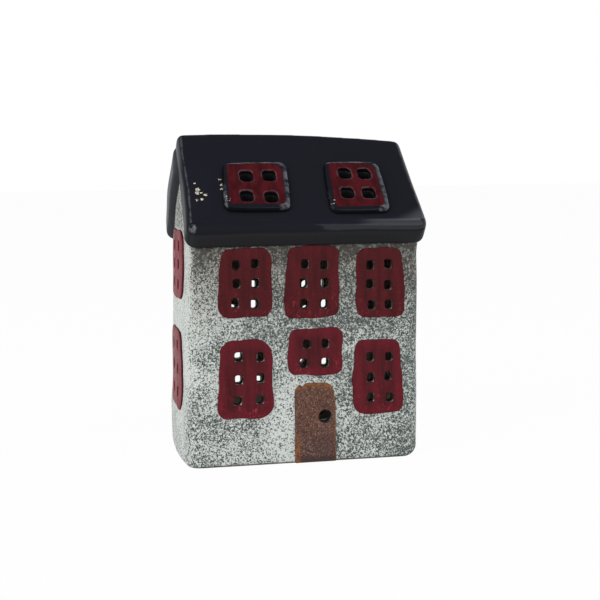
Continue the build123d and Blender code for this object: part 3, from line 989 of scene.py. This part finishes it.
def cut_wall(shell, node):
    """The part of the shell between the mitres at the two ends of a wall."""
    wall = bmesh.new()
    wall.from_mesh(shell)
    middle = sum(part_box(node), Vector()) / 2
    side_x = 1 if middle.x > 0 else -1
    side_y = 1 if middle.y > 0 else -1
    along_x = node in ("front_wall", "back_wall")
    for end in (-1, 1):
        corner_x, corner_y = (end, side_y) if along_x else (side_x, end)
        mitre = Vector((corner_x, -corner_y, 0)).normalized() * (1 if along_x else -1)
        place = Vector((corner_x * HALF_WIDTH, corner_y * HALF_DEPTH, 0))
        everything = wall.verts[:] + wall.edges[:] + wall.faces[:]
        bmesh.ops.bisect_plane(wall, geom=everything, plane_co=place, plane_no=mitre, clear_outer=True)
    rims = [edge for edge in wall.edges if edge.is_boundary]
    ends = bmesh.ops.edgeloop_fill(wall, edges=rims)["faces"]
    caps = bmesh.ops.triangulate(wall, faces=ends)["faces"]
    wall.faces.index_update()
    cap_indices = {face.index for face in caps}
    mesh = bpy.data.meshes.new(node)
    wall.to_mesh(mesh)
    wall.free()
    shade_smooth(mesh)
    use_shell_normals(mesh, cap_indices)
    return mesh


def use_shell_normals(mesh, cap_indices):
    """Shades a wall with the shell's normals, and the cuts at its ends flat."""
    kept = np.empty(len(mesh.vertices) * 3, dtype=np.float32)
    mesh.attributes["shell_normal"].data.foreach_get("vector", kept)
    kept = kept.reshape(-1, 3)
    corners = np.empty(len(mesh.loops), dtype=np.int32)
    mesh.loops.foreach_get("vertex_index", corners)
    normals = kept[corners]
    for index in cap_indices:
        face = mesh.polygons[index]
        normals[list(face.loop_indices)] = face.normal
    mesh.normals_split_custom_set(normals)
    mesh.attributes.remove(mesh.attributes["shell_normal"])


# Roof

def lap_step(points):
    """Shortens a slab at its left end, more so below the ridge."""
    shorter = LAP_STEP + LAP_SLANT * smooth_step(RIDGE - LAP_TOP, RIDGE - LAP_FOOT, points[:, 2])
    return shorter * smooth_step(ROOF_LOW.x + LAP_SPAN, ROOF_LOW.x, points[:, 0])


def tuck_in(points):
    """Draws a slab's left end in towards the eave."""
    near_eave = smooth_step(EAVE + TUCK_TOP, EAVE + TUCK_FOOT, points[:, 2])
    return TUCK_SIZE * near_eave * smooth_step(ROOF_LOW.x + LAP_SPAN, ROOF_LOW.x, points[:, 0])


def facing(normals, direction, low, high):
    """1 where the surface faces a direction, within a cone that fades from high to low."""
    return smooth_step(low, high, normals @ np.array(direction.normalized()))


def spot(points, place, radius):
    """A soft round mark."""
    return 1 - smooth_step(0.5 * radius, radius, np.linalg.norm(points - np.array(place), axis=1))


def reflection_wedge(points):
    """1 inside the painted reflection's wedge at the lower right corner of the front slope."""
    down = (np.array(on_slope(0, 0)) - points) @ np.array(SLOPE_UP)
    share = np.clip((points[:, 0] - WEDGE_START) / WEDGE_SPAN, 0, 1)
    upper_side = WEDGE_FOOT - WEDGE_RISE * share**2
    return smooth_step(*WEDGE_SOFT, down - upper_side) * smooth_step(0, WEDGE_TIP, share)


def roof_wear(points, normals, outward):
    """Where the glaze runs thin along a slab's ends."""
    left_edge = LEFT_EDGE_WEAR * facing(normals, outward + EDGE_LEAN * LEFT, *EDGE_CONE)
    right_edge = RIGHT_EDGE_WEAR * facing(normals, outward + EDGE_LEAN * RIGHT, *EDGE_CONE)
    upper = smooth_step(EAVE + LOW_EDGE_START, EAVE + LOW_EDGE_END, points[:, 2])
    low_edge = upper * facing(normals, LEFT - outward, *LOW_EDGE_CONE)
    return np.maximum.reduce([left_edge, low_edge, right_edge])


def roof_dullness(points, normals, end, front):
    """Where a slab doesn't shine: at its ends, where it tilts too far, and along the roll of its eave."""
    across, tilt = points[:, 0], normals[:, 2]
    gloss_ends = GLOSS_TILT - (GLOSS_DROP if front else 0) * smooth_step(*GLOSS_ACROSS, across)
    dull = smooth_step(*GLOSS_FADE, tilt - gloss_ends)
    roll_top = smooth_step(*ROLL_IN, tilt) * smooth_step(*ROLL_OUT, tilt) * smooth_step(*ROLL_ACROSS, across)
    return np.maximum.reduce([end, dull, roll_top])


def roof_painted_light(points, normals, end, front):
    """Painted grey light: the front slab's reflection wedge and upper ends, the back slab's ends and lip."""
    x, _, z = points.T
    _, forward, tilt = normals.T
    if front:
        near_ridge = smooth_step(EAVE + LIT_END_START, EAVE + LIT_END_END, z)
        wedge = PAINTED_LIGHT_SHARE * reflection_wedge(points) * smooth_step(*WEDGE_TILT, tilt)
        return np.maximum(end * near_ridge, wedge)
    past_wall = smooth_step(HALF_WIDTH - LIP_START, HALF_WIDTH - LIP_END, np.abs(x))
    lip = past_wall * np.maximum(smooth_step(*LIP_FACING, tilt), smooth_step(*LIP_FACING, forward))
    return PAINTED_LIGHT_SHARE * np.maximum(end, lip)


def add_roof_slab(node, material):
    mesh = voxel_mesh(node, cad_form([node]), ROOF_VOXEL)
    relax(mesh, ROOF_ROUNDS)
    front = node == "front_roof_slab"
    make_uneven(mesh, ROOF_DENTS, lap_step if front else tuck_in)
    points = points_of(mesh)
    normals = normals_of(mesh)
    end = smooth_step(*END_FACING, np.abs(normals[:, 0]))
    bare = np.zeros(len(points))
    painted_glint = np.zeros(len(points))
    if front:
        bare = spot(points, BARE_SPOT, BARE_RADIUS)
        # painted glints: pale specks that stand for highlights
        for place, radius in GLINT_SPOTS:
            painted_glint = np.maximum(painted_glint, spot(points, place, radius))
    write_attribute(mesh, "bare", bare)
    write_attribute(mesh, "thin_glaze_and_highlight", roof_wear(points, normals, SLOPE_OUT if front else SLOPE_OUT_BACK))
    write_attribute(mesh, "painted_glint", painted_glint)
    write_attribute(mesh, "dry", roof_dullness(points, normals, end, front))
    # painted reflection on the undersides, standing in for the floor
    write_attribute(mesh, "under", smooth_step(*UNDER_FACING, normals[:, 2]) * (1 - end))
    write_attribute(mesh, "painted_roof_light", roof_painted_light(points, normals, end, front))
    add_piece(mesh, node, material)


# Studio

def add_camera():
    """The camera that took the photograph."""
    forward = Vector((
        sin(CAMERA_YAW) * cos(CAMERA_PITCH),
        cos(CAMERA_YAW) * cos(CAMERA_PITCH),
        sin(CAMERA_PITCH),
    ))
    level = forward.cross(UP).normalized()
    plumb = forward.cross(level)
    right = level * cos(CAMERA_ROLL) + plumb * sin(CAMERA_ROLL)
    down = plumb * cos(CAMERA_ROLL) - level * sin(CAMERA_ROLL)
    data = bpy.data.cameras.new("camera")
    data.sensor_width = SENSOR
    data.lens = FOCAL_PIXELS / IMAGE_SIDE * SENSOR
    camera = bpy.data.objects.new("camera", data)
    turn = Matrix((right, -down, -forward)).transposed()
    camera.matrix_world = Matrix.Translation(CAMERA_PLACE) @ turn.to_4x4()
    bpy.context.scene.collection.objects.link(camera)
    bpy.context.scene.camera = camera


def add_floor():
    """A pale floor that looks white and still takes the object's shadow."""
    sides = ((-1, -1), (1, -1), (1, 1), (-1, 1))
    corners = [(x * FLOOR_REACH, y * FLOOR_REACH, 0) for x, y in sides]
    mesh = bpy.data.meshes.new("floor")
    mesh.from_pydata(corners, [], [(0, 1, 2, 3)])
    floor = bpy.data.objects.new("floor", mesh)
    bpy.context.scene.collection.objects.link(floor)
    look = Look("white_floor")
    look.set(Base_Color=(0.95, 0.95, 0.95, 1))
    look.set(Roughness=0.9)
    look.set(Specular_IOR_Level=0.0)
    path = look.node("LightPath", {})
    seen = look.math("MAXIMUM", path.outputs["Is Camera Ray"], path.outputs["Is Glossy Ray"])
    seen = look.math("MAXIMUM", seen, path.outputs["Is Transmission Ray"])
    white = look.node("Emission", {"Color": (1, 1, 1, 1), "Strength": 1.0}).outputs[0]
    share = look.math("MULTIPLY", seen, FLOOR_WHITE)
    mixed = look.node("MixShader", {0: share, 1: look.surface.outputs[0], 2: white}).outputs[0]
    output = look.tree.nodes["Material Output"]
    look.put(output.inputs["Surface"], mixed)
    mesh.materials.append(look.material)


def add_lamp(name, direction, distance, size, power, color=(1, 1, 1)):
    """A square soft lamp that looks at the house from a direction."""
    data = bpy.data.lights.new(name, "AREA")
    data.color = color
    data.shape = "SQUARE"
    data.size = size
    data.energy = power
    lamp = bpy.data.objects.new(name, data)
    middle = Vector((0, 0, EAVE / 2))
    away = Vector(direction).normalized()
    lamp.location = middle + away * distance
    lamp.rotation_euler = away.to_track_quat("Z", "Y").to_euler()
    bpy.context.scene.collection.objects.link(lamp)


def set_world():
    """White round the horizon, dark slate overhead, as under a dark ceiling."""
    world = bpy.data.worlds.new("studio")
    world.use_nodes = True
    tree = world.node_tree
    bpy.context.scene.world = world
    place = tree.nodes.new("ShaderNodeTexCoord")
    split = tree.nodes.new("ShaderNodeSeparateXYZ")
    tree.links.new(place.outputs["Generated"], split.inputs[0])
    ramp = tree.nodes.new("ShaderNodeValToRGB")
    ramp.color_ramp.interpolation = "EASE"
    ramp.color_ramp.elements[0].position = HORIZON_END
    ramp.color_ramp.elements[0].color = (1, 1, 1, 1)
    ramp.color_ramp.elements[1].position = CEILING_START
    ramp.color_ramp.elements[1].color = (0.085, 0.09, 0.115, 1)
    tree.links.new(split.outputs["Z"], ramp.inputs[0])
    tree.links.new(ramp.outputs[0], tree.nodes["Background"].inputs["Color"])


add_camera()
add_floor()
add_lamp("key", (-0.75, -0.5, 0.55), distance=1.2, size=0.6, power=6.0)
add_lamp("fill", (0.55, -0.75, 0.45), distance=1.4, size=0.9, power=3.0)
add_lamp("overhead", (0.35, -0.45, 0.82), distance=1.2, size=0.5, power=1.6, color=(0.80, 0.88, 1.0))
set_world()
bpy.context.scene.view_settings.view_transform = "Standard"

upper_red = window_glaze("window_glaze_upper", (0.043, 0.0042, 0.0056), (0.083, 0.0068, 0.0092), marks=0.6)
lower_red = window_glaze("window_glaze_lower", (0.048, 0.0046, 0.0070), (0.108, 0.0082, 0.0130), marks=0.9)
# painted light: the gables' windows are a brighter, pinker, almost gloss-free copy of the red glaze
lit_gable_red = window_glaze(
    "window_glaze_gable_painted_light", (0.120, 0.017, 0.022), (0.265, 0.043, 0.053), marks=0.75, gloss=0.004,
)
for windows, outward, material in (
    (FRONT_UPPER, FRONT, upper_red),
    (FRONT_LOWER, FRONT, lower_red),
    (LEFT_WINDOWS, LEFT, lit_gable_red),
    (RIGHT_WINDOWS, RIGHT, lit_gable_red),
    (BACK_UPPER, BACK, upper_red),
    (BACK_LOWER, BACK, lower_red),
):
    for node in windows:
        add_window(node, outward, material)
add_door(door_clay())

all_panels = FRONT_UPPER + FRONT_LOWER + LEFT_WINDOWS + RIGHT_WINDOWS + BACK_UPPER + BACK_LOWER + (DOOR,)
wall_pieces(all_panels, wall_glaze())

roof_material = roof_glaze()
for node in ROOF_SLABS:
    add_roof_slab(node, roof_material)

skylight_material = skylight_glaze()
for node in SKYLIGHTS:
    add_skylight(node, SLOPE_OUT, SLOPE_UP, skylight_material)

for node, material in (
    ("tealight_cup", cup_foil()),
    ("tealight_wax", paraffin()),
    ("tealight_wick", wick_cotton()),
    ("wick_sustainer", sustainer_tin()),
):
    paint(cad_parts[node].data, material)
